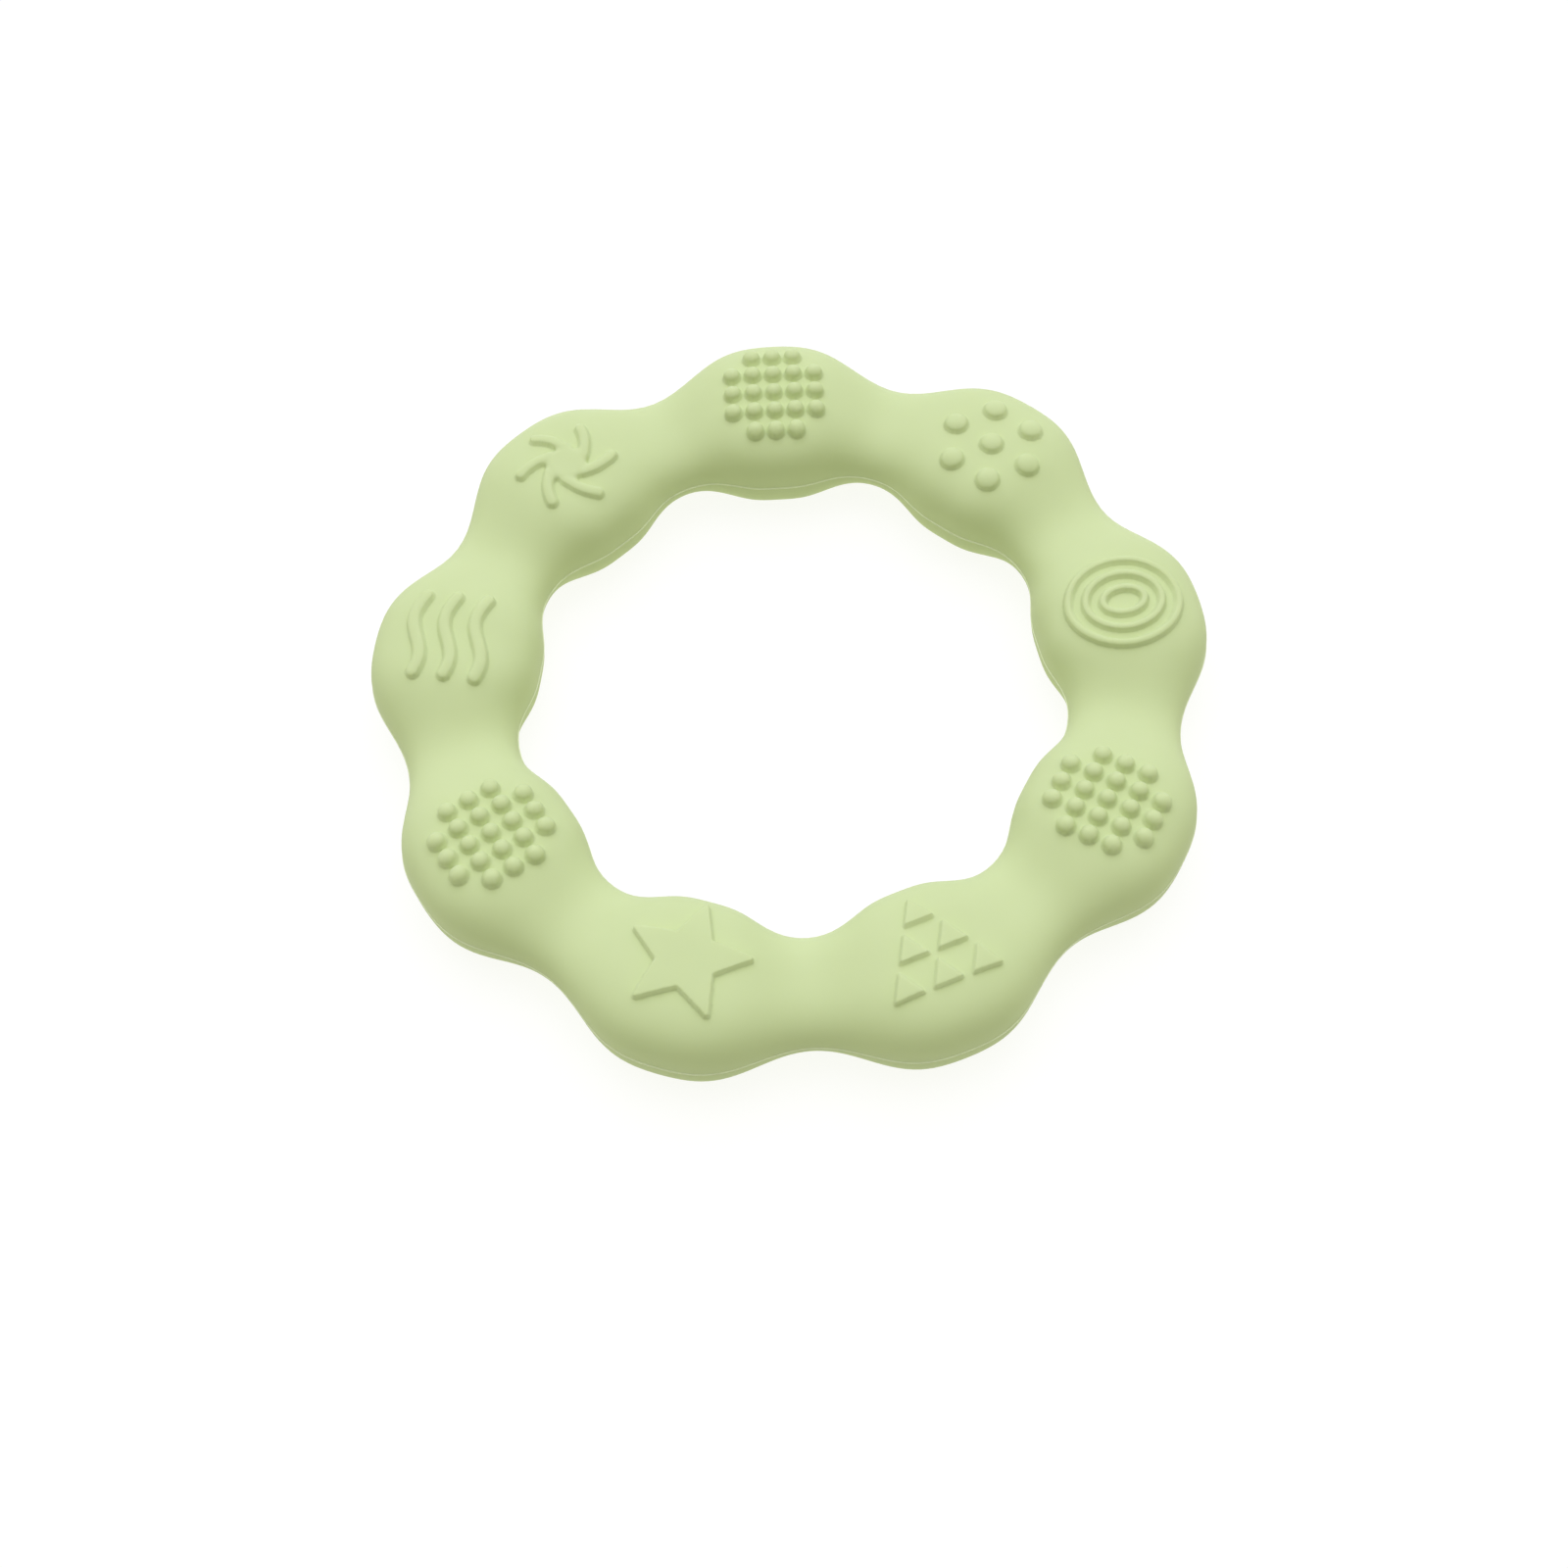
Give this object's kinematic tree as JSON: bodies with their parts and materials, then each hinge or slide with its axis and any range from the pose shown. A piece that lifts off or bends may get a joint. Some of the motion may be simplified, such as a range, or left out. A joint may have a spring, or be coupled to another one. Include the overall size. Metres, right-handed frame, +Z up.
{
  "type": "teething ring",
  "caption": "Lobed silicone teething ring with a raised texture on the upper side of each lobe, made as two hollow half shells bonded along the seam.",
  "frame": {"origin": "on the ring's axis, in the plane of the seam between the two shells", "axes": "+Z up along the ring's axis, out of the textured side; +Y from the axis to the middle of the first nub lobe; +X to the right of it seen from above"},
  "size_m": [0.1094, 0.1082, 0.0142],
  "materials": {
    "silicone": "matt pale sage-green silicone",
    "seam_bond": "matt silicone bond, a shade paler than the shells"
  },
  "bodies": {
    "root": {"upper_shell": "silicone", "lower_shell": "silicone", "outer_seam": "seam_bond", "inner_seam": "seam_bond"}
  },
  "joints": []
}
